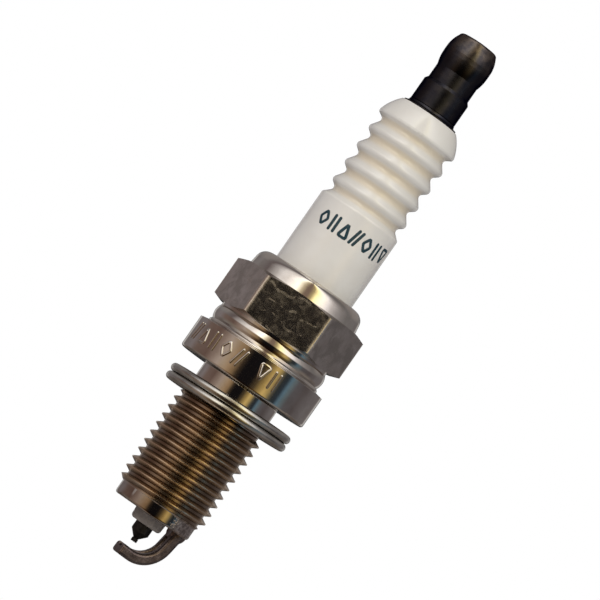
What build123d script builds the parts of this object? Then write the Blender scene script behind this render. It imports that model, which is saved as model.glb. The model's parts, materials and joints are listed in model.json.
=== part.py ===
"""Motorcycle spark plug: M12 x 1.25 thread, 19 mm reach, 16 mm hexagon, resistor type, fine-wire electrode.

The frame is the plug's own: Z is the plug's axis and points to the terminal, and z = 0 is the seat plane,
the underside of the shell's flange.  Two opposite hexagon flats face -Y and +Y.  Units are millimetres.
Most pieces are turned round the axis, so their outlines are (radius, height) points on the XZ plane.
"""

from build123d import *
from math import cos, radians, sin, tan
import os

# --- driving dimensions ------------------------------------------------------------------------------

# interfaces
TERMINAL_TOP = 50.5      # height of the terminal nut's top above the seat plane
TERMINAL_R = 3.175       # 6.35 mm terminal
REACH = 19.0             # seat plane to the shell's end
THREAD_R = 6.0           # M12
THREAD_PITCH = 1.25
THREAD_ROOT_R = 5.28
HEX_FLATS = 16.0
SPARK_GAP = 0.9

# shell, outside
NECK_R = 5.28            # plain neck under the flange, where the gasket hangs
PILOT_R = 5.26           # plain end below the thread
PILOT_ROUND = 0.35
NECK_ROUND = 0.2         # fillet between the neck and the seat
THREAD_TOP = -4.0
THREAD_BOTTOM = -17.4
THREAD_PHASE_Z = -18.66  # a crest crosses +X at this height and at every pitch above it
CREST_FLAT = 0.13
THREAD_TURNS = 12
THREAD_SUNK = 0.25       # how far the thread's ridge reaches into its core
FLANGE_R = 8.85
FLANGE_TOP = 4.47
FLANGE_BEVEL = 0.2       # drop of the flange's conical top face
FLANGE_ROUND = 0.35
RIDGE_R = 7.8            # thin rolled ridge on the flange's top face
RIDGE_TALL = 0.28
VALLEY_R = 7.62          # groove between the ridge and the bulge
VALLEY_Z = 4.92
BULGE_R = 7.86           # buckled band between the flange and the hexagon
BULGE_Z = 5.7
WAIST_R = 7.58
WAIST_Z = 6.8
HEX_BOTTOM = 7.1
HEX_TOP = 12.95
HEX_CHAMFER = 20.0       # degrees
HEX_EDGE_R = 0.45        # rounding of the hexagon's upright edges
LIP_R = 7.66             # crimped lip at its root
LIP_SHOULDER_R = 7.5
LIP_SHOULDER_Z = 14.1
LIP_CORNER_R = 7.16      # a point on the lip's rolled corner
LIP_CORNER_Z = 14.82
LIP_TOP_R = 6.4
LIP_TOP = 15.25

# shell, inside
HEAD_BORE_R = 6.45       # round the insulator's head
BODY_BORE_R = 4.35       # round the insulator's lower body
NOSE_BORE_R = 3.1        # below the inner seat
HEAD_BORE_FLOOR = 2.1
CONE_FOOT = 0.5
LEDGE_TOP = -7.75
SEAT_SLOPE = 0.6         # drop per millimetre of radius on the inner seat
LIP_INSIDE = 14.62
LIP_HOLE_R = 5.56

# insulator
LAND_R = 5.5             # plain barrel that the cap's boot grips
LAND_TOP = 25.0
LAND_FOOT = 15.2         # inside the crimped lip
WAIST_OF_HEAD_R = 5.3    # barrel below the land, inside the shell
RIM_R = 3.95             # flat top under the terminal
INSULATOR_TOP = 39.7
SHOULDER_R = 4.84        # a point on the top rib's rounded shoulder
SHOULDER_Z = 38.5
TOP_CREST_Z = 37.15
TOP_CREST_R = 5.4
RIB_CREST_R = 5.48
GROOVE_R = 4.33
RIB_PITCH = 2.53
FIRST_GROOVE_Z = 36.2
GROOVE_TO_CREST = 1.6    # the flanks above the grooves are the steeper ones
GROOVES = 5
RIB_ROUND = 0.5
HEAD_R = 6.3
HEAD_SHOULDER = 10.9
HEAD_TOP = 9.8
HEAD_FOOT = 2.4
BODY_R = 4.2
BODY_TOP = 0.8
BODY_SEAT = -7.3
NOSE_R = 2.9
NOSE_TAPER_TOP = -10.5
NOSE_TIP_R = 2.08
NOSE_END = -20.3
BORE_R = 2.1             # bore for the stud, the seals and the resistor
BORE_FLOOR = -4.8
WIRE_BORE_R = 1.21       # bore for the centre electrode
WIRE_BORE_TOP = -5.6

# conductor train inside the insulator
STUD_R = 1.95
STUD_END = 10.0
COLLAR_R = 3.72          # flared foot that seals on the insulator's top
COLLAR_TOP = 40.35
STUD_THREAD_R = 1.98     # M4 x 0.7
STUD_THREAD_ROOT_R = 1.62
STUD_THREAD_PITCH = 0.7
STUD_THREAD_TURNS = 12
KEY_RINGS = 5            # grooves that key the stud's foot into the glass
KEY_RING_PITCH = 0.8
KEY_RING_SIZE = 0.4
STUD_TIP = 49.1
FILL_R = 2.08            # seals and resistor, just inside the bore
RESISTOR_TOP = 7.0
RESISTOR_BOTTOM = -0.5
SEAL_GAP = 0.02          # joint between neighbouring fills
ELECTRODE_TOP = -3.4
ELECTRODE_R = 1.17
ELECTRODE_HEAD_R = 1.6   # head that rests on the bore's step
ELECTRODE_HEAD_TOP = -4.4
ELECTRODE_HEAD_END = -5.18
CONE_START = -21.47
CONE_END = -22.1
CONE_TIP_R = 0.45
CORE_R = 0.65
CORE_END = -19.6
TIP_R = 0.41
TIP_WELD_R = 0.35        # where the fine tip leaves the cone
TIP_ROOT_R = 0.3
TIP_TOP = -22.2
TIP_END = -22.7
TIP_HOLE_TOP = -21.6

# seals between the insulator and the shell
PACKING_IN_R = 3.2       # washer on the inner seat
PACKING_OUT_R = 4.1
WIRE_R = 0.48            # packing rings
WIRE_RING_R = 5.925
LOWER_RING_Z = 11.05
UPPER_RING_Z = 14.1
TALC_INNER_R = 5.42
TALC_OUTER_R = 6.43

# crush gasket: one strip of sheet folded into four leaves, hanging loose on the neck
GASKET_R = 8.5
GASKET_HOLE_R = 5.65
SHEET = 0.4
OUTER_FOLD = 0.64        # height between the leaves joined at the rim
INNER_FOLD = 0.44        # height between the leaves joined at the hole
GASKET_X = 0.15          # it hangs this far off centre
GASKET_Z = -2.95         # height of its middle at rest on the first thread
GASKET_COCK = 1.6        # degrees, lower on the -X side

# ground electrode
STRAP_ANGLE = 27.5       # degrees from +X towards +Y
STRAP_THICK = 1.42
STRAP_WIDTH = 2.4
STRAP_INNER = 3.47       # distance of its inner face from the axis at the weld
STRAP_LEAN = 9.0         # degrees, its arm leans in towards the tip
STRAP_BEND_R = 3.5
STRAP_REACH = 1.3        # how far its free end passes the axis
STRAP_RISE = 0.12        # the free end stands this much higher
STRAP_EDGE_R = 0.38
STRAP_END_R = 0.3
GROOVE_WIDTH = 0.9
FLASH_R = 1.3            # weld upset at its root
FLASH_X = 4.15           # its centre, from the axis
FLASH_Z = -18.95

# terminal nut
NUT_BORE_R = 2.03
NUT_BORE_TOP = 49.3
NUT_BORE_CHAMFER = 0.35
NUT_FOOT_CHAMFER = 0.1
NUT_BASE_TOP = 43.3
NECK_OF_NUT_R = 2.87
NUT_NECK_FOOT = 43.72
NUT_NECK_TOP = 45.6
BARREL_FOOT = 47.4       # the widest stretch of the rounded barrel
BARREL_TOP = 48.0
CROWN_R = 2.66           # rounded corner between the barrel and the domed top
CROWN_Z = 49.95
CROWN_ROUND = 0.5
DOME_R = 2.3
DOME_Z = 50.33

os.makedirs("parts", exist_ok=True)


# --- terminal nut ------------------------------------------------------------------------------------

DRILL_POINT_Z = NUT_BORE_TOP + NUT_BORE_R * tan(radians(30))

with BuildPart() as terminal_nut:
    with BuildSketch(Plane.XZ):
        with BuildLine():
            Polyline(
                (0, TERMINAL_TOP),
                (0, DRILL_POINT_Z),
                (NUT_BORE_R, NUT_BORE_TOP),
                (NUT_BORE_R, COLLAR_TOP + NUT_BORE_CHAMFER),
                (NUT_BORE_R + NUT_BORE_CHAMFER, COLLAR_TOP),
                (TERMINAL_R - NUT_FOOT_CHAMFER, COLLAR_TOP),
                (TERMINAL_R, COLLAR_TOP + NUT_FOOT_CHAMFER),
                (TERMINAL_R, NUT_BASE_TOP),
                (NECK_OF_NUT_R, NUT_NECK_FOOT),
                (NECK_OF_NUT_R, NUT_NECK_TOP),
            )
            TangentArc((TERMINAL_R, BARREL_FOOT), (NECK_OF_NUT_R, NUT_NECK_TOP), tangent=(0, -1))
            Line((TERMINAL_R, BARREL_FOOT), (TERMINAL_R, BARREL_TOP))
            TangentArc((TERMINAL_R, BARREL_TOP), (CROWN_R, CROWN_Z), tangent=(0, 1))
            RadiusArc((CROWN_R, CROWN_Z), (DOME_R, DOME_Z), -CROWN_ROUND)
            TangentArc((0, TERMINAL_TOP), (DOME_R, DOME_Z), tangent=(1, 0))
        make_face()
    revolve(axis=Axis.Z)
terminal_nut.part.label = "terminal_nut"


# --- terminal stud -----------------------------------------------------------------------------------

STUD_CREST_HALF = 0.06
STUD_THREAD_HALF = STUD_CREST_HALF + (STUD_THREAD_R - STUD_THREAD_ROOT_R) * tan(radians(30))
STUD_THREAD_SUNK = 0.2

with BuildPart() as stud_thread:
    with BuildLine():
        stud_helix = Helix(
            pitch=STUD_THREAD_PITCH,
            height=STUD_THREAD_TURNS * STUD_THREAD_PITCH,
            radius=STUD_THREAD_ROOT_R,
            center=(0, 0, COLLAR_TOP + 0.2),
        )
    with BuildSketch(Plane(origin=stud_helix @ 0, x_dir=(1, 0, 0), z_dir=stud_helix % 0)):
        Polygon(
            (-STUD_THREAD_SUNK, -STUD_THREAD_HALF),
            (0, -STUD_THREAD_HALF),
            (STUD_THREAD_R - STUD_THREAD_ROOT_R, -STUD_CREST_HALF),
            (STUD_THREAD_R - STUD_THREAD_ROOT_R, STUD_CREST_HALF),
            (0, STUD_THREAD_HALF),
            (-STUD_THREAD_SUNK, STUD_THREAD_HALF),
            align=None,
        )
    sweep(path=stud_helix, is_frenet=True)
    with BuildSketch(Plane.XZ):
        Polygon(
            (0.5, COLLAR_TOP + 0.6),
            (STUD_THREAD_ROOT_R, COLLAR_TOP + 0.6),
            (STUD_THREAD_R + 0.1, COLLAR_TOP + 1.1),
            (STUD_THREAD_R + 0.1, STUD_TIP - 0.5),
            (STUD_THREAD_ROOT_R - 0.1, STUD_TIP),
            (0.5, STUD_TIP),
            align=None,
        )
    revolve(axis=Axis.Z, mode=Mode.INTERSECT)

with BuildPart() as terminal_stud:
    with BuildSketch(Plane.XZ):
        with BuildLine():
            Polyline(
                (0, STUD_END),
                (STUD_R - 0.3, STUD_END),
                (STUD_R, STUD_END + 0.3),
                (STUD_R, INSULATOR_TOP + 0.02),
                (COLLAR_R, INSULATOR_TOP + 0.02),
                (COLLAR_R, INSULATOR_TOP + 0.2),
            )
            TangentArc((TERMINAL_R + 0.03, COLLAR_TOP), (COLLAR_R, INSULATOR_TOP + 0.2), tangent=(0, -1))
            Polyline(
                (TERMINAL_R + 0.03, COLLAR_TOP),
                (STUD_THREAD_ROOT_R, COLLAR_TOP),
                (STUD_THREAD_ROOT_R, STUD_TIP - 0.4),
                (STUD_THREAD_ROOT_R - 0.4, STUD_TIP),
                (0, STUD_TIP),
                (0, STUD_END),
            )
        make_face()
    revolve(axis=Axis.Z)
    with BuildSketch(Plane.XZ):
        for ring in range(KEY_RINGS):
            with Locations((STUD_R, STUD_END + 1.0 + KEY_RING_PITCH * ring)):
                Rectangle(KEY_RING_SIZE, KEY_RING_SIZE)
    revolve(axis=Axis.Z, mode=Mode.SUBTRACT)
    add(stud_thread.part)
terminal_stud.part.label = "terminal_stud"


# --- insulator ---------------------------------------------------------------------------------------

rib_points = []
rib_radii = []
for rib in range(GROOVES):
    groove_z = FIRST_GROOVE_Z - rib * RIB_PITCH
    rib_points.append((GROOVE_R, groove_z))
    rib_radii.append(RIB_ROUND)
    if rib < GROOVES - 1:
        rib_points.append((RIB_CREST_R, groove_z - GROOVE_TO_CREST))
        rib_radii.append(RIB_ROUND)

# roundings of the corners below the ribs, from the land's top to the firing end
BODY_ROUNDS = [0.4, 0.04, 0.04, 0.3, 0.2, 0.3, 0.4, 0.2, 0.2, 0.5, 0.5, 0.45]

with BuildPart() as insulator:
    with BuildSketch(Plane.XZ):
        with BuildLine():
            ThreePointArc((RIM_R, INSULATOR_TOP), (SHOULDER_R, SHOULDER_Z), (TOP_CREST_R, TOP_CREST_Z))
            FilletPolyline(
                (TOP_CREST_R, TOP_CREST_Z),
                (TOP_CREST_R, TOP_CREST_Z - 0.3),
                *rib_points,
                (LAND_R, LAND_TOP),
                (LAND_R, LAND_FOOT),
                (WAIST_OF_HEAD_R, LAND_FOOT - 0.1),
                (WAIST_OF_HEAD_R, HEAD_SHOULDER + 0.1),
                (HEAD_R, HEAD_TOP),
                (HEAD_R, HEAD_FOOT),
                (BODY_R, BODY_TOP),
                (BODY_R, BODY_SEAT),
                (NOSE_R, BODY_SEAT - (BODY_R - NOSE_R) * SEAT_SLOPE),
                (NOSE_R, NOSE_TAPER_TOP),
                (NOSE_TIP_R, NOSE_END + 0.6),
                (NOSE_TIP_R, NOSE_END),
                (WIRE_BORE_R, NOSE_END),
                radius=[RIB_ROUND / 2, *rib_radii, *BODY_ROUNDS],
            )
            Polyline(
                (WIRE_BORE_R, NOSE_END),
                (WIRE_BORE_R, WIRE_BORE_TOP),
                (BORE_R, BORE_FLOOR),
                (BORE_R, INSULATOR_TOP - 0.3),
                (BORE_R + 0.3, INSULATOR_TOP),
                (RIM_R, INSULATOR_TOP),
            )
        make_face()
    revolve(axis=Axis.Z)
insulator.part.label = "insulator"


# --- seals, resistor and centre electrode ------------------------------------------------------------

with BuildPart() as glass_seal_upper:
    with BuildSketch(Plane.XY.offset(RESISTOR_TOP + SEAL_GAP)):
        Circle(FILL_R)
    extrude(amount=STUD_END - RESISTOR_TOP - 2 * SEAL_GAP)
glass_seal_upper.part.label = "glass_seal_upper"

with BuildPart() as resistor:
    with BuildSketch(Plane.XY.offset(RESISTOR_BOTTOM)):
        Circle(FILL_R)
    extrude(amount=RESISTOR_TOP - RESISTOR_BOTTOM)
resistor.part.label = "resistor"

with BuildPart() as glass_seal_lower:
    with BuildSketch(Plane.XZ):
        Polygon(
            (0, RESISTOR_BOTTOM - SEAL_GAP),
            (FILL_R, RESISTOR_BOTTOM - SEAL_GAP),
            (FILL_R, ELECTRODE_HEAD_TOP),
            (ELECTRODE_HEAD_R + SEAL_GAP, ELECTRODE_HEAD_TOP),
            (ELECTRODE_R + SEAL_GAP, ELECTRODE_HEAD_TOP + 0.5),
            (ELECTRODE_R + SEAL_GAP, ELECTRODE_TOP + SEAL_GAP),
            (0, ELECTRODE_TOP + SEAL_GAP),
            align=None,
        )
    revolve(axis=Axis.Z)
glass_seal_lower.part.label = "glass_seal_lower"

with BuildPart() as centre_electrode:
    with BuildSketch(Plane.XZ):
        with BuildLine():
            Polyline(
                (CORE_R, ELECTRODE_TOP),
                (ELECTRODE_R, ELECTRODE_TOP),
                (ELECTRODE_R, ELECTRODE_HEAD_TOP + 0.45),
                (ELECTRODE_HEAD_R, ELECTRODE_HEAD_TOP - 0.02),
                (ELECTRODE_HEAD_R, ELECTRODE_HEAD_END),
                (ELECTRODE_R, ELECTRODE_HEAD_END - 0.44),
                (ELECTRODE_R, CONE_START + 0.15),
                (ELECTRODE_R - 0.12, CONE_START),
                (CONE_TIP_R, CONE_END),
                (TIP_WELD_R, TIP_TOP),
                (TIP_ROOT_R, TIP_TOP),
                (TIP_ROOT_R, TIP_HOLE_TOP),
                (0, TIP_HOLE_TOP),
                (0, CORE_END - 0.3),
                (CORE_R, CORE_END),
                (CORE_R, ELECTRODE_TOP),
            )
        make_face()
    revolve(axis=Axis.Z)
centre_electrode.part.label = "centre_electrode"

with BuildPart() as centre_electrode_core:
    with BuildSketch(Plane.XZ):
        Polygon(
            (0, ELECTRODE_TOP),
            (CORE_R, ELECTRODE_TOP),
            (CORE_R, CORE_END),
            (0, CORE_END - 0.3),
            align=None,
        )
    revolve(axis=Axis.Z)
centre_electrode_core.part.label = "centre_electrode_core"

with BuildPart() as electrode_tip:
    with BuildSketch(Plane.XZ):
        Polygon(
            (0, TIP_HOLE_TOP),
            (TIP_ROOT_R, TIP_HOLE_TOP),
            (TIP_ROOT_R, TIP_TOP),
            (TIP_WELD_R, TIP_TOP),
            (TIP_R, TIP_TOP - 0.1),
            (TIP_R, TIP_END + 0.03),
            (TIP_R - 0.03, TIP_END),
            (0, TIP_END),
            align=None,
        )
    revolve(axis=Axis.Z)
electrode_tip.part.label = "electrode_tip"


# --- shell -------------------------------------------------------------------------------------------

CREST_HALF = CREST_FLAT / 2
STEM_R = THREAD_ROOT_R - 0.06
STEM_HALF = CREST_HALF + (THREAD_R - STEM_R) * tan(radians(30))

with BuildPart() as shell_thread:
    with BuildLine():
        shell_helix = Helix(
            pitch=THREAD_PITCH,
            height=THREAD_TURNS * THREAD_PITCH,
            radius=THREAD_ROOT_R,
            center=(0, 0, THREAD_PHASE_Z),
        )
    with BuildSketch(Plane(origin=shell_helix @ 0, x_dir=(1, 0, 0), z_dir=shell_helix % 0)):
        Polygon(
            (STEM_R - THREAD_SUNK - THREAD_ROOT_R, -STEM_HALF),
            (STEM_R - THREAD_ROOT_R, -STEM_HALF),
            (THREAD_R - THREAD_ROOT_R, -CREST_HALF),
            (THREAD_R - THREAD_ROOT_R, CREST_HALF),
            (STEM_R - THREAD_ROOT_R, STEM_HALF),
            (STEM_R - THREAD_SUNK - THREAD_ROOT_R, STEM_HALF),
            align=None,
        )
    sweep(path=shell_helix, is_frenet=True)
    # both ends of the thread run out on a cone
    with BuildSketch(Plane.XZ):
        Polygon(
            (NOSE_BORE_R, THREAD_BOTTOM),
            (STEM_R, THREAD_BOTTOM),
            (THREAD_R + 0.1, THREAD_BOTTOM + 0.9),
            (THREAD_R + 0.1, THREAD_TOP - 0.7),
            (STEM_R, THREAD_TOP),
            (NOSE_BORE_R, THREAD_TOP),
            align=None,
        )
    revolve(axis=Axis.Z, mode=Mode.INTERSECT)

HEX_CORNER_R = HEX_FLATS / 2 / cos(radians(30))
HEX_DROP = (HEX_CORNER_R - HEX_FLATS / 2) * tan(radians(HEX_CHAMFER))

with BuildPart() as hexagon:
    with BuildSketch(Plane.XY.offset(HEX_BOTTOM)):
        RegularPolygon(radius=HEX_CORNER_R, side_count=6)
    extrude(amount=HEX_TOP - HEX_BOTTOM)
    fillet(hexagon.edges().filter_by(Axis.Z), radius=HEX_EDGE_R)
    with BuildSketch(Plane.XZ):
        Polygon(
            (0, HEX_BOTTOM),
            (HEX_FLATS / 2, HEX_BOTTOM),
            (HEX_CORNER_R, HEX_BOTTOM + HEX_DROP),
            (HEX_CORNER_R, HEX_TOP - HEX_DROP),
            (HEX_FLATS / 2, HEX_TOP),
            (0, HEX_TOP),
            align=None,
        )
    revolve(axis=Axis.Z, mode=Mode.INTERSECT)
    with BuildSketch(Plane.XY.offset(HEX_BOTTOM)):
        Circle(HEAD_BORE_R + 0.4)
    extrude(amount=HEX_TOP - HEX_BOTTOM, mode=Mode.SUBTRACT)

LEDGE_FOOT = LEDGE_TOP - (BODY_BORE_R - NOSE_BORE_R) * SEAT_SLOPE

with BuildPart() as shell:
    with BuildSketch(Plane.XZ):
        with BuildLine():
            # outside, from the end at the electrodes up to the crimped lip
            Line((NOSE_BORE_R + 0.2, -REACH), (PILOT_R - PILOT_ROUND, -REACH))
            CenterArc((PILOT_R - PILOT_ROUND, -REACH + PILOT_ROUND), PILOT_ROUND, -90, 90)
            Polyline(
                (PILOT_R, -REACH + PILOT_ROUND),
                (PILOT_R, THREAD_BOTTOM + 0.05),
                (THREAD_ROOT_R, THREAD_BOTTOM + 0.13),
                (NECK_R, -NECK_ROUND),
            )
            CenterArc((NECK_R + NECK_ROUND, -NECK_ROUND), NECK_ROUND, 180, -90)
            Line((NECK_R + NECK_ROUND, 0), (FLANGE_R - FLANGE_ROUND, 0))
            CenterArc((FLANGE_R - FLANGE_ROUND, FLANGE_ROUND), FLANGE_ROUND, -90, 90)
            Polyline(
                (FLANGE_R, FLANGE_ROUND),
                (FLANGE_R, FLANGE_TOP - FLANGE_BEVEL),
                (RIDGE_R, FLANGE_TOP),
            )
            ThreePointArc(
                (RIDGE_R, FLANGE_TOP),
                (RIDGE_R + 0.05, FLANGE_TOP + RIDGE_TALL / 2),
                (RIDGE_R - 0.05, FLANGE_TOP + RIDGE_TALL),
            )
            Line((RIDGE_R - 0.05, FLANGE_TOP + RIDGE_TALL), (VALLEY_R, VALLEY_Z))
            ThreePointArc((VALLEY_R, VALLEY_Z), (BULGE_R, BULGE_Z), (WAIST_R, WAIST_Z))
            Polyline(
                (WAIST_R, WAIST_Z),
                (WAIST_R, HEX_BOTTOM + 1),
                (LIP_R, HEX_TOP - 1),
                (LIP_R, HEX_TOP),
                (LIP_SHOULDER_R, LIP_SHOULDER_Z),
            )
            ThreePointArc(
                (LIP_SHOULDER_R, LIP_SHOULDER_Z),
                (LIP_CORNER_R, LIP_CORNER_Z),
                (LIP_TOP_R, LIP_TOP),
            )
            # inside, back down
            Polyline(
                (LIP_TOP_R, LIP_TOP),
                (LIP_HOLE_R, LIP_TOP),
                (LIP_HOLE_R, LIP_INSIDE),
                (WIRE_RING_R, LIP_INSIDE),
            )
            ThreePointArc(
                (WIRE_RING_R, LIP_INSIDE),
                (WIRE_RING_R + 0.38, UPPER_RING_Z + 0.37),
                (HEAD_BORE_R, UPPER_RING_Z),
            )
            Polyline(
                (HEAD_BORE_R, UPPER_RING_Z),
                (HEAD_BORE_R, HEAD_BORE_FLOOR),
                (BODY_BORE_R, CONE_FOOT),
                (BODY_BORE_R, LEDGE_TOP),
                (NOSE_BORE_R, LEDGE_FOOT),
                (NOSE_BORE_R, -REACH + 0.2),
                (NOSE_BORE_R + 0.2, -REACH),
            )
        make_face()
    revolve(axis=Axis.Z)
    add(hexagon.part)
    add(shell_thread.part)
shell.part.label = "shell"


# --- seals between insulator and shell ---------------------------------------------------------------

with BuildPart() as seat_packing:
    with BuildSketch(Plane.XZ):
        Polygon(
            (PACKING_IN_R, LEDGE_TOP - (BODY_BORE_R - PACKING_IN_R) * SEAT_SLOPE + 0.01),
            (PACKING_OUT_R, LEDGE_TOP - (BODY_BORE_R - PACKING_OUT_R) * SEAT_SLOPE + 0.01),
            (PACKING_OUT_R, BODY_SEAT - (BODY_R - PACKING_OUT_R) * SEAT_SLOPE - 0.03),
            (PACKING_IN_R, BODY_SEAT - (BODY_R - PACKING_IN_R) * SEAT_SLOPE - 0.03),
            align=None,
        )
    revolve(axis=Axis.Z)
seat_packing.part.label = "seat_packing"

with BuildPart() as lower_packing_ring:
    with BuildSketch(Plane.XZ):
        with Locations((WIRE_RING_R, LOWER_RING_Z)):
            Circle(WIRE_R)
    revolve(axis=Axis.Z)
lower_packing_ring.part.label = "lower_packing_ring"

with BuildPart() as upper_packing_ring:
    with BuildSketch(Plane.XZ):
        with Locations((WIRE_RING_R, UPPER_RING_Z)):
            Circle(WIRE_R)
    revolve(axis=Axis.Z)
upper_packing_ring.part.label = "upper_packing_ring"

with BuildPart() as talc_ring:
    with BuildSketch(Plane.XY.offset(LOWER_RING_Z + WIRE_R + SEAL_GAP)):
        Circle(TALC_OUTER_R)
        Circle(TALC_INNER_R, mode=Mode.SUBTRACT)
    extrude(amount=UPPER_RING_Z - LOWER_RING_Z - 2 * WIRE_R - 2 * SEAL_GAP)
talc_ring.part.label = "talc_ring"


# --- crush gasket ------------------------------------------------------------------------------------

COCK = radians(GASKET_COCK)
RIM_FOLD_R = GASKET_R - (OUTER_FOLD + SHEET) / 2
HOLE_FOLD_R = GASKET_HOLE_R + (INNER_FOLD + SHEET) / 2 + 0.1
LOBE = (INNER_FOLD + OUTER_FOLD) / 2
LEAF_OUTER = INNER_FOLD / 2 + OUTER_FOLD
LEAF_INNER = INNER_FOLD / 2
gasket_middle = (GASKET_X, 0, GASKET_Z)
gasket_axis = Axis(gasket_middle, (-sin(COCK), 0, cos(COCK)))
gasket_plane = Plane(origin=gasket_middle, x_dir=(cos(COCK), 0, sin(COCK)), z_dir=(0, -1, 0))

with BuildPart() as gasket:
    with BuildSketch(gasket_plane):
        with BuildLine() as leaves:
            Line((GASKET_HOLE_R, LEAF_OUTER), (RIM_FOLD_R, LEAF_OUTER))
            CenterArc((RIM_FOLD_R, LOBE), OUTER_FOLD / 2, 90, -180)
            Line((RIM_FOLD_R, LEAF_INNER), (HOLE_FOLD_R, LEAF_INNER))
            CenterArc((HOLE_FOLD_R, 0), INNER_FOLD / 2, 90, 180)
            Line((HOLE_FOLD_R, -LEAF_INNER), (RIM_FOLD_R, -LEAF_INNER))
            CenterArc((RIM_FOLD_R, -LOBE), OUTER_FOLD / 2, 90, -180)
            Line((RIM_FOLD_R, -LEAF_OUTER), (GASKET_HOLE_R, -LEAF_OUTER))
        trace(line_width=SHEET)
    revolve(axis=gasket_axis)
gasket.part.label = "gasket"


# --- ground electrode --------------------------------------------------------------------------------

STRAP = radians(STRAP_ANGLE)
LEAN = radians(STRAP_LEAN)
outward = Vector(cos(STRAP), sin(STRAP), 0)
strap_plane = Plane(origin=(0, 0, 0), x_dir=outward, z_dir=(sin(STRAP), -cos(STRAP), 0))
ROOT_X = STRAP_INNER + STRAP_THICK / 2
FLOOR_Z = TIP_END - SPARK_GAP - STRAP_THICK / 2
BEND_Z = FLOOR_Z - 0.1
STRAP_TOP = -REACH + 0.4   # inside the shell's end, trimmed below


def arm_x(z):
    """Distance of the leaning arm's middle from the axis at height z."""
    return ROOT_X + (z + REACH) * tan(LEAN)


with BuildPart() as ground_electrode:
    with BuildLine(strap_plane) as strap_path:
        FilletPolyline(
            (arm_x(STRAP_TOP), STRAP_TOP),
            (arm_x(BEND_Z), BEND_Z),
            (-STRAP_REACH, FLOOR_Z + STRAP_RISE),
            radius=STRAP_BEND_R,
        )
    strap_line = strap_path.wires()[0]
    with BuildSketch(Plane(origin=strap_line @ 0, x_dir=outward, z_dir=strap_line % 0)):
        RectangleRounded(STRAP_THICK, STRAP_WIDTH, STRAP_EDGE_R)
        with Locations((-STRAP_THICK / 2, 0)):
            Circle(GROOVE_WIDTH / 2, mode=Mode.SUBTRACT)
    sweep(path=strap_line)
    free_end = ground_electrode.faces().sort_by(Axis((0, 0, 0), outward))[0]
    fillet(free_end.edges(), radius=STRAP_END_R)
    with Locations(strap_plane.from_local_coords(Vector(FLASH_X, FLASH_Z, 0))):
        Sphere(FLASH_R)
    # the bore stays clear, and the shell's own metal is not the strap's
    with BuildSketch(Plane.XY.offset(FLASH_Z - FLASH_R - 0.1)):
        Circle(NOSE_BORE_R + 0.1)
    extrude(amount=2 * FLASH_R + 0.2, mode=Mode.SUBTRACT)
    add(shell.part, mode=Mode.SUBTRACT)
ground_electrode.part.label = "ground_electrode"


# --- write one STEP per piece ------------------------------------------------------------------------

export_step(terminal_nut.part, "parts/terminal_nut.step")
export_step(terminal_stud.part, "parts/terminal_stud.step")
export_step(insulator.part, "parts/insulator.step")
export_step(glass_seal_upper.part, "parts/glass_seal_upper.step")
export_step(resistor.part, "parts/resistor.step")
export_step(glass_seal_lower.part, "parts/glass_seal_lower.step")
export_step(centre_electrode.part, "parts/centre_electrode.step")
export_step(centre_electrode_core.part, "parts/centre_electrode_core.step")
export_step(electrode_tip.part, "parts/electrode_tip.step")
export_step(shell.part, "parts/shell.step")
export_step(seat_packing.part, "parts/seat_packing.step")
export_step(lower_packing_ring.part, "parts/lower_packing_ring.step")
export_step(upper_packing_ring.part, "parts/upper_packing_ring.step")
export_step(talc_ring.part, "parts/talc_ring.step")
export_step(gasket.part, "parts/gasket.step")
export_step(ground_electrode.part, "parts/ground_electrode.step")
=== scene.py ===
"""Looks of the spark plug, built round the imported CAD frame.

Everything is in metres, in the plug's frame: Z is its axis towards the terminal, z = 0 the
seat plane. Azimuths are counted from the camera's side, growing to its right.
"""

import json
import math

import bmesh
import bpy
from mathutils import Matrix, Vector


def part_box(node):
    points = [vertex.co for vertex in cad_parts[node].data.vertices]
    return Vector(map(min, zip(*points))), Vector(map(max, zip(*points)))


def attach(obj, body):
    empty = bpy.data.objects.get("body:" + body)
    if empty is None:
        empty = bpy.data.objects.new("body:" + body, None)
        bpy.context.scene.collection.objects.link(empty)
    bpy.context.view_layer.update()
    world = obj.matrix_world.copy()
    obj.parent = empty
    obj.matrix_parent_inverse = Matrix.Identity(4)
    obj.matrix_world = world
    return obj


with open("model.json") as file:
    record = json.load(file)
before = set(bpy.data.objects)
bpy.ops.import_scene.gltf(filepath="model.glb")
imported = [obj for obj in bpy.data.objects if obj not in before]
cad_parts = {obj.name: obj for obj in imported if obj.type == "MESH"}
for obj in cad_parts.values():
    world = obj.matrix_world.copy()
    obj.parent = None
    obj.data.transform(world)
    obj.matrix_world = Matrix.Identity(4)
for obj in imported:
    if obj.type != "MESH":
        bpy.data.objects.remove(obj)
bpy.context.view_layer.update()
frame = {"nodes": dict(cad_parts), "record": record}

MM = 0.001

# sizes that the materials and marks need, read from the frame
MOUNTS = {m["name"]: m for m in frame["record"]["mounts"]}
LAND_R = MOUNTS["boot_land"]["dims"]["r_mm"] * MM
THREAD_R = MOUNTS["thread"]["dims"]["r_mm"] * MM
HEX_APOTHEM = -MOUNTS["hex_flat"]["pos_m"][1]
FLANGE_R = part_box("shell")[1].y

# the rest of them, from the CAD's source
HEX_BOTTOM = 7.1 * MM
HEX_TOP = 12.95 * MM
THREAD_TOP = -4.0 * MM
PLAIN_END_R = 5.26 * MM
STRAP_ANGLE = math.radians(27.5)   # where the strap stands, from +X towards +Y

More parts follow.
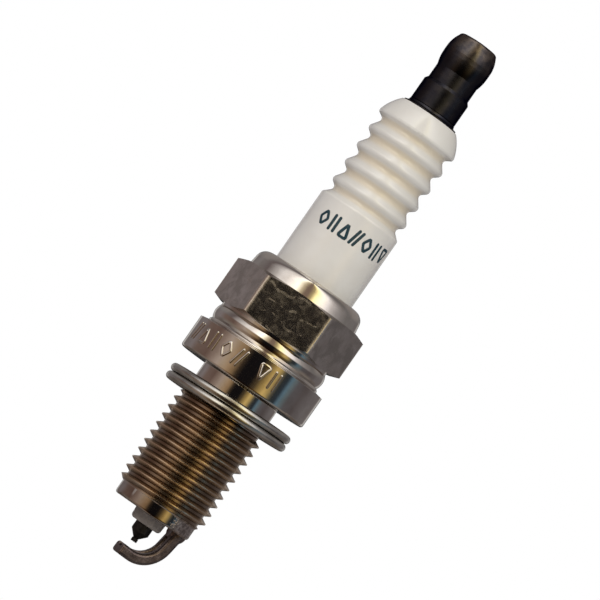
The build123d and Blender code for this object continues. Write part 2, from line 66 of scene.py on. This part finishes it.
# where a finish changes
THREAD_END = -17.1 * MM                   # the thread's brown ends and the burnt rim begins
RIBS_BOTTOM = 25.5 * MM                   # the grooves get a tan painted shade between these heights
RIBS_TOP = 37.0 * MM
HEX_HIGHLIGHT_R = (8.98 * MM, 9.14 * MM)     # the hexagon's corners get a painted highlight, with wear, over these radii
SPATTER_REACH = (7.5 * MM, 8.1 * MM)      # weld spatter fades out over these distances...
SPATTER_SWAY = 2.0 * MM                   # ...which the crust's own noise shortens by up to this
NOSE_DARKENING = (-9.0 * MM, -12.0 * MM)            # the firing nose turns dark grey over these heights
TERMINAL_SHEEN = (46.6 * MM, 49.8 * MM)    # a painted brown sheen spreads over the terminal's top over these heights


# --- camera ---------------------------------------------------------------------------------------

CAMERA_AZIMUTH = math.radians(2.5)
CAMERA_DISTANCE = 0.700
CAMERA_Z = -0.0175           # the camera looks square at the axis near the shell's end
AIM_Z = 12.6 * MM            # height on the plug that is in the picture's middle
ASIDE = -0.14 * MM           # the plug stands this far right of the picture's middle
TILT = math.radians(34.87)   # the plug leans this far clockwise in the picture
SCALE = 8.30                 # picture elements per millimetre at the axis
PICTURE = 600                # picture elements across
SENSOR = 36                  # millimetres across

toward_camera = Vector((math.sin(CAMERA_AZIMUTH), -math.cos(CAMERA_AZIMUTH), 0))
rightward = Vector((math.cos(CAMERA_AZIMUTH), math.sin(CAMERA_AZIMUTH), 0))
AIM = Vector((0, 0, AIM_Z)) + rightward * ASIDE
camera = bpy.data.objects.new("camera", bpy.data.cameras.new("camera"))
bpy.context.scene.collection.objects.link(camera)
bpy.context.scene.camera = camera
camera.location = toward_camera * CAMERA_DISTANCE + rightward * ASIDE + Vector((0, 0, CAMERA_Z))
view = AIM - camera.location
upright = view.normalized().to_track_quat("-Z", "Y").to_matrix()
camera.rotation_euler = (upright @ Matrix.Rotation(TILT, 3, "Z")).to_euler()
camera.data.sensor_width = SENSOR
camera.data.lens = SENSOR * view.length / MM * SCALE / PICTURE
camera.data.clip_start = 0.05
camera.data.clip_end = 50


# --- node helpers ---------------------------------------------------------------------------------

class Nodes:
    """Short calls for the few node kinds used here, on one node tree."""

    def __init__(self, tree):
        self.tree = tree

    def new(self, kind, **settings):
        node = self.tree.nodes.new(kind)
        for key, value in settings.items():
            setattr(node, key, value)
        return node

    def put(self, socket, value):
        """Links another node's output to the socket, or sets the socket's own constant."""
        if isinstance(value, bpy.types.NodeSocket):
            self.tree.links.new(value, socket)
        else:
            socket.default_value = value

    def feed(self, node, **values):
        """A node's inputs by name, with underscores for spaces."""
        for key, value in values.items():
            self.put(node.inputs[key.replace("_", " ")], value)

    def maths(self, operation, *values):
        node = self.new("ShaderNodeMath", operation=operation)
        for socket, value in zip(node.inputs, values):
            self.put(socket, value)
        return node.outputs[0]

    def product(self, first, *others):
        for value in others:
            first = self.maths("MULTIPLY", first, value)
        return first

    def total(self, first, *others):
        for value in others:
            first = self.maths("ADD", first, value)
        return first

    def parts(self, vector):
        """The vector's x, y and z."""
        node = self.new("ShaderNodeSeparateXYZ")
        self.put(node.inputs[0], vector)
        return node.outputs[0], node.outputs[1], node.outputs[2]

    def between(self, value, low, high, out_low=0.0, out_high=1.0):
        """value mapped smoothly from low..high to out_low..out_high, clamped."""
        node = self.new("ShaderNodeMapRange", interpolation_type="SMOOTHSTEP")
        self.feed(node, Value=value, From_Min=low, From_Max=high, To_Min=out_low, To_Max=out_high)
        return node.outputs["Result"]

    def over(self, value, edge):
        """1 where value is over edge, else 0; either may be a socket."""
        return self.maths("GREATER_THAN", value, edge)

    def ramp(self, value, *stops):
        """Colour ramp from (position, colour) stops."""
        node = self.new("ShaderNodeValToRGB")
        self.put(node.inputs[0], value)
        elements = node.color_ramp.elements
        while len(elements) < len(stops):
            elements.new(0.5)
        for element, (position, colour) in zip(elements, stops):
            element.position = position
            element.color = (*colour, 1)
        return node.outputs[0]

    def mix(self, share, a, b):
        """Colour a, with this share of colour b mixed in."""
        node = self.new("ShaderNodeMix", data_type="RGBA")
        self.put(node.inputs[0], share)
        for socket, value in ((node.inputs[6], a), (node.inputs[7], b)):
            self.put(socket, (*value, 1) if isinstance(value, tuple) else value)
        return node.outputs[2]


class Shader(Nodes):
    """One material's nodes, placed by the object's own coordinates."""

    def __init__(self, name):
        self.material = bpy.data.materials.new(name)
        self.material.use_nodes = True
        super().__init__(self.material.node_tree)
        self.surface = self.tree.nodes["Principled BSDF"]
        self.place = self.new("ShaderNodeTexCoord").outputs["Object"]

    def set(self, **values):
        """Principled inputs by name, with underscores for spaces."""
        self.feed(self.surface, **values)

    def height(self):
        """Height along the axis."""
        return self.parts(self.place)[2]

    def away(self, from_x, from_y):
        """Distance from an upright line."""
        x, y, _ = self.parts(self.place)
        x = self.maths("SUBTRACT", x, from_x)
        y = self.maths("SUBTRACT", y, from_y)
        return self.maths("SQRT", self.total(self.product(x, x), self.product(y, y)))

    def radius(self):
        """Distance from the axis."""
        return self.away(0.0, 0.0)

    def round_place(self, per_turn, along):
        """Coordinates (turn angle, height, radius), for textures that run round the axis."""
        x, y, z = self.parts(self.place)
        node = self.new("ShaderNodeCombineXYZ")
        self.put(node.inputs[0], self.product(self.maths("ARCTAN2", y, x), per_turn))
        self.put(node.inputs[1], self.product(z, along))
        self.put(node.inputs[2], self.product(self.radius(), along))
        return node.outputs[0]

    def noise(self, size, detail=4.0, rough=0.55, place=None, twist=0.0):
        """Noise with blobs about size metres across, from 0 to 1."""
        node = self.new("ShaderNodeTexNoise")
        self.feed(node, Vector=place or self.place, Scale=1 / size)
        self.feed(node, Detail=detail, Roughness=rough, Distortion=twist)
        return node.outputs["Fac"]

    def scuffs(self, size):
        """Thin curved handling marks about size metres across, 1 on a mark and 0 off it."""
        node = self.new("ShaderNodeTexWave", wave_type="RINGS", rings_direction="SPHERICAL")
        self.feed(node, Vector=self.place, Scale=0.35 / size)
        self.feed(node, Distortion=9.0, Detail=2.0, Detail_Scale=0.8)
        line = self.between(node.outputs["Fac"], 0.93, 0.985)
        broken = self.between(self.noise(size * 0.6, detail=3), 0.48, 0.60)
        return self.product(line, broken)

    def bump(self, height, distance, strength, normal=None):
        """The normal after a bump, on top of an earlier bump's normal if that is given."""
        node = self.new("ShaderNodeBump")
        self.feed(node, Distance=distance, Strength=strength, Height=height)
        if normal is not None:
            self.feed(node, Normal=normal)
        return node.outputs["Normal"]


def dress(material, *nodes):
    """Gives CAD nodes their material."""
    for node in nodes:
        mesh = frame["nodes"][node].data
        mesh.materials.clear()
        mesh.materials.append(material)


# --- materials ------------------------------------------------------------------------------------

def nickel_plate():
    """Bright nickel plate, scuffed on the hexagon, browned in the thread, crusted by the weld, with
    a painted highlight on the hexagon's corners and painted shade in the thread's roots.
    """
    s = Shader("nickel_plate")
    z = s.height()
    radius = s.radius()
    cloud = s.noise(2.2 * MM, detail=6, rough=0.6)
    blotch = s.between(s.noise(1.8 * MM, detail=6, rough=0.6, twist=0.4), 0.38, 0.62)
    worn = s.between(s.noise(0.9 * MM, detail=4, rough=0.55, twist=0.6), 0.42, 0.68)
    speck = s.noise(0.22 * MM, detail=3)
    crust = s.noise(0.35 * MM, detail=4, rough=0.6)
    scuffs = s.scuffs(1.6 * MM)
    turning = s.noise(1.0, detail=5, rough=0.7, place=s.round_place(1.2, 2600))

    # regions, 1 inside each and 0 outside
    on_hexagon = s.product(s.over(z, HEX_BOTTOM), s.over(HEX_TOP, z),
                           s.over(radius, HEX_APOTHEM - 0.1 * MM))
    # painted highlight, with wear: the hexagon's corners lighter and rougher
    rubbed_highlight = s.product(on_hexagon, s.between(radius, *HEX_HIGHLIGHT_R))
    in_thread = s.product(s.between(z, THREAD_TOP + 0.4 * MM, THREAD_TOP - 0.4 * MM),
                          s.between(z, THREAD_END - 0.3 * MM, THREAD_END + 0.1 * MM))
    # painted shade: the thread's roots, where shade falls between the turns
    thread_root_shade = s.product(in_thread, s.between(radius, THREAD_R - 0.05 * MM, THREAD_R - 0.7 * MM))
    burnt = s.product(s.between(z, THREAD_END, THREAD_END - 0.4 * MM),
                      s.between(cloud, 0.2, 0.8, 0.35, 0.65))
    from_strap = s.away(PLAIN_END_R * math.cos(STRAP_ANGLE), PLAIN_END_R * math.sin(STRAP_ANGLE))
    from_strap = s.total(from_strap, s.product(crust, SPATTER_SWAY))
    spattered = s.product(s.between(from_strap, *reversed(SPATTER_REACH)), s.over(THREAD_END, z))

    plate = s.mix(s.between(cloud, 0.35, 0.7), (0.66, 0.62, 0.58), (0.56, 0.515, 0.47))
    plate = s.mix(s.product(on_hexagon, blotch), plate, (0.46, 0.43, 0.39))
    plate = s.mix(s.product(in_thread, 0.75), plate, (0.76, 0.60, 0.43))
    # painted shade in the thread's roots, a dark brown
    plate = s.mix(s.product(thread_root_shade, 0.75), plate, (0.14, 0.09, 0.06))
    plate = s.mix(burnt, plate, (0.28, 0.22, 0.19))
    weld_scale = s.ramp(crust, (0.42, (0.22, 0.18, 0.17)), (0.66, (0.62, 0.55, 0.52)))
    plate = s.mix(s.product(spattered, 0.85), plate, weld_scale)
    # painted highlight on the hexagon's corners, with rubbed wear
    plate = s.mix(s.product(rubbed_highlight, 0.6), plate, (0.82, 0.75, 0.68))
    s.set(Base_Color=plate, Metallic=1.0)

    hexagon_dull = s.total(s.product(worn, 0.07), s.product(scuffs, 0.11), 0.078)
    s.set(Roughness=s.total(
        s.product(turning, 0.06),
        s.product(in_thread, 0.15),
        s.product(s.between(cloud, 0.45, 0.8), 0.05),
        s.product(on_hexagon, hexagon_dull),
        s.product(rubbed_highlight, 0.15),
        s.product(spattered, 0.28),
        0.035,
    ))

    normal = s.bump(cloud, 0.02 * MM, 0.25)
    normal = s.bump(turning, 0.002 * MM, 0.4, normal)
    normal = s.bump(s.product(scuffs, on_hexagon), 0.004 * MM, 0.5, normal)
    normal = s.bump(s.product(worn, on_hexagon), 0.003 * MM, 0.5, normal)
    normal = s.bump(s.product(spattered, crust), 0.08 * MM, 0.8, normal)
    s.set(Normal=s.bump(speck, 0.002 * MM, 0.5, normal))
    return s.material


def gasket_steel():
    """Dull sheet steel, brushed round the ring."""
    s = Shader("gasket_steel")
    brushed = s.noise(1.0, detail=5, rough=0.65, place=s.round_place(3.0, 9000))
    cloud = s.noise(1.6 * MM, detail=5)
    colour = s.mix(s.between(cloud, 0.3, 0.7), (0.56, 0.55, 0.525), (0.44, 0.425, 0.40))
    s.set(Base_Color=colour, Metallic=1.0)
    s.set(Roughness=s.total(s.product(brushed, 0.12), 0.19))
    s.set(Normal=s.bump(brushed, 0.005 * MM, 0.5))
    return s.material


def glazed_alumina():
    """Warm white glaze, tan painted shade in the grooves, bare and dark grey round the firing nose.
    """
    s = Shader("glazed_alumina")
    z = s.height()
    cloud = s.noise(3.5 * MM, detail=5)
    fleck = s.noise(0.35 * MM, detail=2)
    in_ribs = s.product(s.between(z, RIBS_BOTTOM - 1.2 * MM, RIBS_BOTTOM),
                        s.between(z, RIBS_TOP + 1.2 * MM, RIBS_TOP))
    groove_shade = s.between(s.radius(), LAND_R - 0.45 * MM, LAND_R - 1.05 * MM)
    spots = s.between(fleck, 0.76, 0.84)
    nose = s.between(z, *NOSE_DARKENING)

    glaze = s.mix(s.between(cloud, 0.35, 0.7), (0.645, 0.635, 0.63), (0.62, 0.605, 0.595))
    # painted shade: a tan tint in the grooves between the ribs
    glaze = s.mix(s.product(in_ribs, groove_shade, 0.75), glaze, (0.67, 0.58, 0.44))
    glaze = s.mix(s.product(spots, 0.25), glaze, (0.45, 0.38, 0.30))
    # the firing nose darker grey, mottled
    nose_grey = s.noise(0.9 * MM, detail=6)
    nose_grey = s.ramp(nose_grey, (0.3, (0.19, 0.165, 0.155)), (0.7, (0.13, 0.112, 0.108)))
    s.set(Base_Color=s.mix(nose, glaze, nose_grey))
    s.set(Roughness=s.total(s.product(nose, 0.5), 0.16))
    s.set(Coat_Weight=s.product(s.maths("SUBTRACT", 1.0, nose), 0.6))
    s.set(Coat_Roughness=0.13, Coat_IOR=1.5)
    s.set(Normal=s.bump(fleck, 0.004 * MM, 0.4, s.bump(cloud, 0.03 * MM, 0.25)))
    return s.material


def black_terminal():
    """Blackened steel with an oily satin sheen, and a painted brown sheen near the top."""
    s = Shader("black_terminal")
    cloud = s.noise(1.3 * MM, detail=6, rough=0.6)
    turned = s.noise(1.0, detail=4, place=s.round_place(2.0, 5000))
    painted_sheen = s.product(s.between(s.height(), *TERMINAL_SHEEN),
                     s.between(cloud, 0.35, 0.65, 0.25, 1.0), 0.8)
    colour = s.ramp(cloud, (0.4, (0.032, 0.033, 0.044)), (0.75, (0.056, 0.052, 0.056)))
    # painted sheen: the top turned brown where the light catches it
    colour = s.mix(painted_sheen, colour, (0.20, 0.165, 0.14))
    s.set(Base_Color=colour, Metallic=1.0, Specular_Tint=(0.25, 0.25, 0.30, 1.0))
    s.set(Roughness=s.total(s.product(cloud, 0.16), 0.18))
    s.set(Normal=s.bump(turned, 0.002 * MM, 0.5, s.bump(cloud, 0.012 * MM, 0.4)))
    return s.material


def electrode_alloy():
    """Dark grey-brown nickel alloy of the strap, mottled by heat."""
    s = Shader("electrode_alloy")
    cloud = s.noise(0.7 * MM, detail=7, rough=0.65)
    grain = s.noise(0.12 * MM, detail=4)
    dark, middle, light = (0.085, 0.064, 0.062), (0.16, 0.125, 0.12), (0.26, 0.21, 0.205)
    s.set(Base_Color=s.ramp(cloud, (0.3, dark), (0.55, middle), (0.75, light)), Metallic=0.9)
    s.set(Roughness=s.total(s.product(cloud, 0.18), 0.24))
    s.set(Normal=s.bump(grain, 0.006 * MM, 0.7, s.bump(cloud, 0.02 * MM, 0.5)))
    return s.material


def mottled(name, dark, light, size, metallic, rough, ramp=(0.3, 0.7), more_rough=0.2):
    """A plain finish mottled by patches about size millimetres across, rougher where light."""
    s = Shader(name)
    cloud = s.noise(size * MM, detail=6)
    s.set(Base_Color=s.ramp(cloud, (ramp[0], dark), (ramp[1], light)), Metallic=metallic)
    s.set(Roughness=s.total(s.product(cloud, more_rough), rough))
    s.set(Normal=s.bump(cloud, 0.01 * MM, 0.5))
    return s.material


dress(nickel_plate(), "shell")
dress(gasket_steel(), "gasket")
dress(glazed_alumina(), "insulator")
dress(black_terminal(), "terminal_nut", "terminal_stud")
dress(electrode_alloy(), "ground_electrode")
dress(mottled("dark_electrode", (0.007, 0.006, 0.006), (0.028, 0.023, 0.021), 0.4, 0.7, 0.35,
              ramp=(0.35, 0.75), more_rough=0.25), "centre_electrode", "electrode_tip")

# pieces sealed inside the plug
dress(mottled("copper", (0.62, 0.26, 0.13), (0.80, 0.40, 0.23), 0.5, 1.0, 0.25),
      "centre_electrode_core")
dress(mottled("seal_glass", (0.10, 0.06, 0.04), (0.30, 0.20, 0.13), 0.4, 0.1, 0.35),
      "glass_seal_lower", "glass_seal_upper")
dress(mottled("resistor_ceramic", (0.03, 0.03, 0.03), (0.12, 0.11, 0.10), 0.3, 0.0, 0.6),
      "resistor")
dress(mottled("packing_steel", (0.26, 0.26, 0.27), (0.42, 0.42, 0.42), 0.6, 1.0, 0.3),
      "seat_packing", "lower_packing_ring", "upper_packing_ring")
dress(mottled("talc", (0.62, 0.60, 0.55), (0.80, 0.78, 0.73), 0.3, 0.0, 0.8),
      "talc_ring")


# --- printed and stamped marks --------------------------------------------------------------------

SECTION_STEPS = 10           # points round a stroke's section
CAP_ANGLES = (25, 50, 75)    # degrees round a stroke's end at which its cap has a section
CORNER_CUTS = (0.10, 0.22)   # shares of each side cut off at a stroke's corners, cut after cut

# plain shapes in a box one wide and one tall about the origin, as (points, closed) strokes
DIAMOND = ((((0, 0.5), (0.5, 0), (0, -0.5), (-0.5, 0)), True),)
RISING = ((((0, 0.5), (0.5, -0.5), (-0.5, -0.5)), True),)
FALLING = ((((0, -0.5), (0.5, 0.5), (-0.5, 0.5)), True),)
BARS = tuple((((x, 0.5), (x, -0.5)), False) for x in (-0.28, 0.28))
SLANTS = tuple((((x, 0.5), (x - 0.4, -0.5)), False) for x in (-0.05, 0.45))

# a row of marks each: (degrees from the camera's side, shape), on the insulator and on the flange
PRINT_SHAPES = (DIAMOND, BARS, RISING, SLANTS, DIAMOND, BARS, FALLING)
PRINT_ROW = [(-38.5 + 17 * i, shape) for i, shape in enumerate(PRINT_SHAPES)]
PRINT_HEIGHT = 22.3 * MM
PRINT_SIZE = (1.15 * MM, 1.85 * MM)
PRINT_STROKE = (0.19 * MM, 0.015 * MM, 0.06 * MM)
STAMP_SHAPES = (SLANTS, RISING, BARS, DIAMOND, SLANTS)
STAMP_ROW = [(-66 + 13 * i, shape) for i, shape in enumerate(STAMP_SHAPES)]
STAMP_ROW += [(7.5, FALLING), (19.5, BARS)]
STAMP_HEIGHT = 2.5 * MM
STAMP_SIZE = (1.35 * MM, 2.1 * MM)
STAMP_STROKE = (0.18 * MM, 0.1 * MM, 0.1 * MM)


def rounded(points, closed):
    """The path with its corners cut as CORNER_CUTS says."""
    for share in CORNER_CUTS:
        pairs = list(zip(points, points[1:] + points[:1] if closed else points[1:]))
        cut = [] if closed else [points[0]]
        for a, b in pairs:
            cut += [a.lerp(b, share), a.lerp(b, 1 - share)]
        points = cut if closed else cut + [points[-1]]
    return points


def stroke_rings(points, closed, half_width):
    """(place, direction, size) of each section along a stroke; an open one ends in round caps."""
    count = len(points)
    rings = []
    for i, place in enumerate(points):
        before = points[i - 1] if closed or i else place
        after = points[(i + 1) % count] if closed or i < count - 1 else place
        rings.append((place, (after - before).normalized(), 1.0))
    if closed:
        return rings
    _, first, _ = rings[0]
    _, last, _ = rings[-1]
    start, end = [], []
    for angle in CAP_ANGLES:
        reach = half_width * math.sin(math.radians(angle))
        size = math.cos(math.radians(angle))
        start.insert(0, (points[0] - first * reach, first, size))
        end.append((points[-1] + last * reach, last, size))
    return start + rings + end


def marks(name, material, row, radius, height, size, stroke):
    """One mesh of a row's marks raised on a round surface.

    size is a mark's (width, height); stroke is a stroke's (half width, height over the surface,
    depth under it).
    """
    half_width, lift, sink = stroke
    maker = bmesh.new()

    def on_surface(place, out):
        turn = place.x / radius
        away = toward_camera * math.cos(turn) + rightward * math.sin(turn)
        return away * (radius + out) + Vector((0, 0, place.y))

    def section(place, direction, scale):
        aside = Vector((-direction.y, direction.x))
        loop = []
        for step in range(SECTION_STEPS):
            a = math.tau * step / SECTION_STEPS
            out = math.sin(a) * (lift if math.sin(a) > 0 else sink) * scale
            spot = place + aside * (math.cos(a) * half_width * scale)
            loop.append(maker.verts.new(on_surface(spot, out)))
        return loop

    for degrees, shape in row:
        centre = Vector((math.radians(degrees) * radius, height))
        for path, closed in shape:
            path = [centre + Vector((x * size[0], y * size[1])) for x, y in path]
            rings = stroke_rings(rounded(path, closed), closed, half_width)
            loops = [section(*ring) for ring in rings]
            for one, two in zip(loops, loops[1:] + loops[:1] if closed else loops[1:]):
                for j in range(SECTION_STEPS):
                    k = (j + 1) % SECTION_STEPS
                    maker.faces.new((one[j], two[j], two[k], one[k]))
            if not closed:
                maker.faces.new(loops[0])
                maker.faces.new(reversed(loops[-1]))
    bmesh.ops.recalc_face_normals(maker, faces=maker.faces)
    for face in maker.faces:
        face.smooth = True
    mesh = bpy.data.meshes.new(name)
    maker.to_mesh(mesh)
    maker.free()
    mesh.materials.append(material)
    piece = bpy.data.objects.new(name, mesh)
    bpy.context.scene.collection.objects.link(piece)
    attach(piece, "plug")
    return piece


def teal_ink():
    """Fired-on dark teal ink, slightly uneven."""
    s = Shader("teal_ink")
    cloud = s.noise(0.25 * MM, detail=4)
    s.set(Base_Color=s.ramp(cloud, (0.3, (0.004, 0.024, 0.038)), (0.7, (0.008, 0.040, 0.058))))
    s.set(Roughness=s.total(s.product(cloud, 0.2), 0.3))
    s.set(Normal=s.bump(cloud, 0.003 * MM, 0.5))
    return s.material


marks("print_marks", teal_ink(), PRINT_ROW, LAND_R, PRINT_HEIGHT, PRINT_SIZE, PRINT_STROKE)
stamp_finish = frame["nodes"]["shell"].data.materials[0]
stamps = marks("stamp_marks", stamp_finish, STAMP_ROW, FLANGE_R, STAMP_HEIGHT, STAMP_SIZE,
               STAMP_STROKE)


# --- floor and lights -----------------------------------------------------------------------------

FLOOR_Z = -1.2
FLOOR_R = 2.5
LIGHT_DISTANCE = 0.8
LIGHT_SIZE = 0.7
WHITE = (1.0, 1.0, 1.0)
CLEAR = (0.92, 0.96, 1.0)
COOL = (0.90, 0.96, 1.0)

floor_mesh = bpy.data.meshes.new("floor")
floor_maker = bmesh.new()
bmesh.ops.create_circle(floor_maker, cap_ends=True, segments=96, radius=FLOOR_R)
floor_maker.to_mesh(floor_mesh)
floor_maker.free()
floor = bpy.data.objects.new("floor", floor_mesh)
bpy.context.scene.collection.objects.link(floor)
floor.location.z = FLOOR_Z
floor.visible_glossy = False
floor_finish = Shader("floor")
floor_tone = floor_finish.noise(0.4, detail=3)
floor_tone = floor_finish.ramp(floor_tone, (0.3, (0.86, 0.86, 0.86)), (0.7, (0.90, 0.90, 0.90)))
floor_finish.set(Base_Color=floor_tone, Roughness=0.8)
floor_mesh.materials.append(floor_finish.material)


def soft_light(name, azimuth, elevation, watts, colour):
    """A square light aimed at the plug and not mirrored in it; the world makes the reflections."""
    data = bpy.data.lights.new(name, "AREA")
    data.size = LIGHT_SIZE
    data.energy = watts
    data.color = colour
    lamp = bpy.data.objects.new(name, data)
    bpy.context.scene.collection.objects.link(lamp)
    a = CAMERA_AZIMUTH + math.radians(azimuth)
    e = math.radians(elevation)
    away = Vector((math.sin(a) * math.cos(e), -math.cos(a) * math.cos(e), math.sin(e)))
    lamp.location = AIM + away * LIGHT_DISTANCE
    lamp.rotation_euler = (-away).to_track_quat("-Z", "Y").to_euler()
    lamp.visible_glossy = False


soft_light("left_fill", -66, 15, 1.9, COOL)
soft_light("right_fill", 60, 12, 1.8, COOL)
soft_light("top_fill", 0, 55, 1.0, CLEAR)
soft_light("low_fill", 0, -40, 1.35, CLEAR)
soft_light("back_fill", 180, 15, 2.4, WHITE)


# --- world ----------------------------------------------------------------------------------------

# what reflections see all round the plug, as (azimuth in degrees, colour) stops: level with it,
# above it and below it
LEVEL_STOPS = (
    (-180, (0.03, 0.03, 0.03)),
    (-170, (0.12, 0.11, 0.11)),
    (-161, (0.70, 0.68, 0.66)),
    (-152, (0.20, 0.18, 0.18)),
    (-125, (0.25, 0.22, 0.225)),
    (-108, (0.20, 0.145, 0.125)),
    (-82, (0.18, 0.12, 0.10)),
    (-66, (0.34, 0.26, 0.22)),
    (-55, (0.50, 0.41, 0.35)),
    (-45, (0.50, 0.39, 0.28)),
    (-35, (0.43, 0.295, 0.175)),
    (-27, (0.32, 0.21, 0.11)),
    (-19, (0.05, 0.035, 0.022)),
    (-12, (0.008, 0.007, 0.008)),
    (8, (0.009, 0.008, 0.009)),
    (17, (0.10, 0.07, 0.035)),
    (26, (0.42, 0.29, 0.10)),
    (33, (0.76, 0.54, 0.19)),
    (40, (0.50, 0.37, 0.14)),
    (45, (0.16, 0.14, 0.09)),
    (50, (0.035, 0.042, 0.045)),
    (57, (0.032, 0.045, 0.060)),
    (63, (0.13, 0.22, 0.29)),
    (69, (0.15, 0.20, 0.225)),
    (77, (0.125, 0.12, 0.13)),
    (96, (0.115, 0.10, 0.103)),
    (125, (0.185, 0.172, 0.178)),
    (150, (0.18, 0.16, 0.16)),
    (159, (0.60, 0.58, 0.56)),
    (170, (0.10, 0.10, 0.10)),
    (180, (0.03, 0.03, 0.03)),
)
HIGH_STOPS = (
    (-180, (0.20, 0.19, 0.19)),
    (-130, (0.26, 0.25, 0.25)),
    (-95, (0.17, 0.14, 0.14)),
    (-72, (0.62, 0.59, 0.58)),
    (-58, (1.10, 1.06, 1.04)),
    (-45, (1.25, 1.20, 1.16)),
    (-33, (1.80, 1.74, 1.68)),
    (-22, (2.3, 2.2, 1.85)),
    (-11, (0.80, 0.68, 0.46)),
    (-3, (0.28, 0.20, 0.15)),
    (4, (0.28, 0.20, 0.15)),
    (11, (0.60, 0.48, 0.24)),
    (20, (2.1, 1.85, 0.95)),
    (32, (1.9, 1.8, 1.55)),
    (46, (1.35, 1.30, 1.30)),
    (58, (0.78, 0.75, 0.75)),
    (71, (0.45, 0.43, 0.43)),
    (85, (0.30, 0.28, 0.28)),
    (100, (0.22, 0.21, 0.21)),
    (180, (0.20, 0.19, 0.19)),
)
LOW_STOPS = (
    (-180, (0.20, 0.18, 0.17)),
    (-120, (0.26, 0.24, 0.23)),
    (-90, (0.22, 0.19, 0.16)),
    (-68, (0.34, 0.26, 0.21)),
    (-48, (0.30, 0.22, 0.16)),
    (-36, (0.20, 0.13, 0.08)),
    (-26, (0.06, 0.03, 0.012)),
    (-12, (0.012, 0.006, 0.004)),
    (10, (0.010, 0.005, 0.004)),
    (24, (0.12, 0.06, 0.012)),
    (40, (0.11, 0.08, 0.035)),
    (50, (0.05, 0.055, 0.05)),
    (62, (0.18, 0.22, 0.24)),
    (85, (0.25, 0.22, 0.20)),
    (180, (0.20, 0.18, 0.17)),
)

# what they see above and below the plug on the side away from the camera
CEILING = (0.30, 0.275, 0.265)
GROUND = (0.14, 0.115, 0.10)

# how far up a reflection points, 1 being straight up, where one of these gives way to another
LEVEL_TO_HIGH = (0.08, 0.22)
LEVEL_TO_LOW = (-0.14, -0.42)
TO_CEILING = (0.15, 0.40)
TO_GROUND = (-0.15, -0.40)
TO_BEHIND = (0.20, 0.55)     # how far it points away from the camera, instead of up


def studio_world():
    """White to the camera; to reflections, a dark studio with coloured soft boxes in it."""
    world = bpy.data.worlds.new("studio")
    bpy.context.scene.world = world
    world.use_nodes = True
    world.node_tree.nodes.clear()
    w = Nodes(world.node_tree)

    turned = w.new("ShaderNodeMapping", vector_type="VECTOR")
    direction = w.new("ShaderNodeTexCoord").outputs["Generated"]
    w.feed(turned, Vector=direction, Rotation=(0, 0, -CAMERA_AZIMUTH))
    x, y, z = w.parts(turned.outputs[0])
    azimuth = w.maths("ARCTAN2", x, w.product(y, -1.0))
    share = w.total(w.maths("DIVIDE", azimuth, math.tau), 0.5)

    def all_round(stops):
        return w.ramp(share, *[((degrees + 180) / 360, colour) for degrees, colour in stops])

    room = w.mix(w.between(z, *LEVEL_TO_HIGH), all_round(LEVEL_STOPS), all_round(HIGH_STOPS))
    room = w.mix(w.between(z, *LEVEL_TO_LOW), room, all_round(LOW_STOPS))
    behind = w.between(y, *TO_BEHIND)
    room = w.mix(w.product(behind, w.between(z, *TO_CEILING)), room, CEILING)
    room = w.mix(w.product(behind, w.between(z, *TO_GROUND)), room, GROUND)

    studio = w.new("ShaderNodeBackground")
    w.feed(studio, Color=room)
    backdrop = w.new("ShaderNodeBackground")
    w.feed(backdrop, Color=(*WHITE, 1))
    choice = w.new("ShaderNodeMixShader")
    w.put(choice.inputs[0], w.new("ShaderNodeLightPath").outputs["Is Camera Ray"])
    w.put(choice.inputs[1], studio.outputs[0])
    w.put(choice.inputs[2], backdrop.outputs[0])
    w.put(w.new("ShaderNodeOutputWorld").inputs["Surface"], choice.outputs[0])


studio_world()
bpy.context.scene.view_settings.view_transform = "Standard"
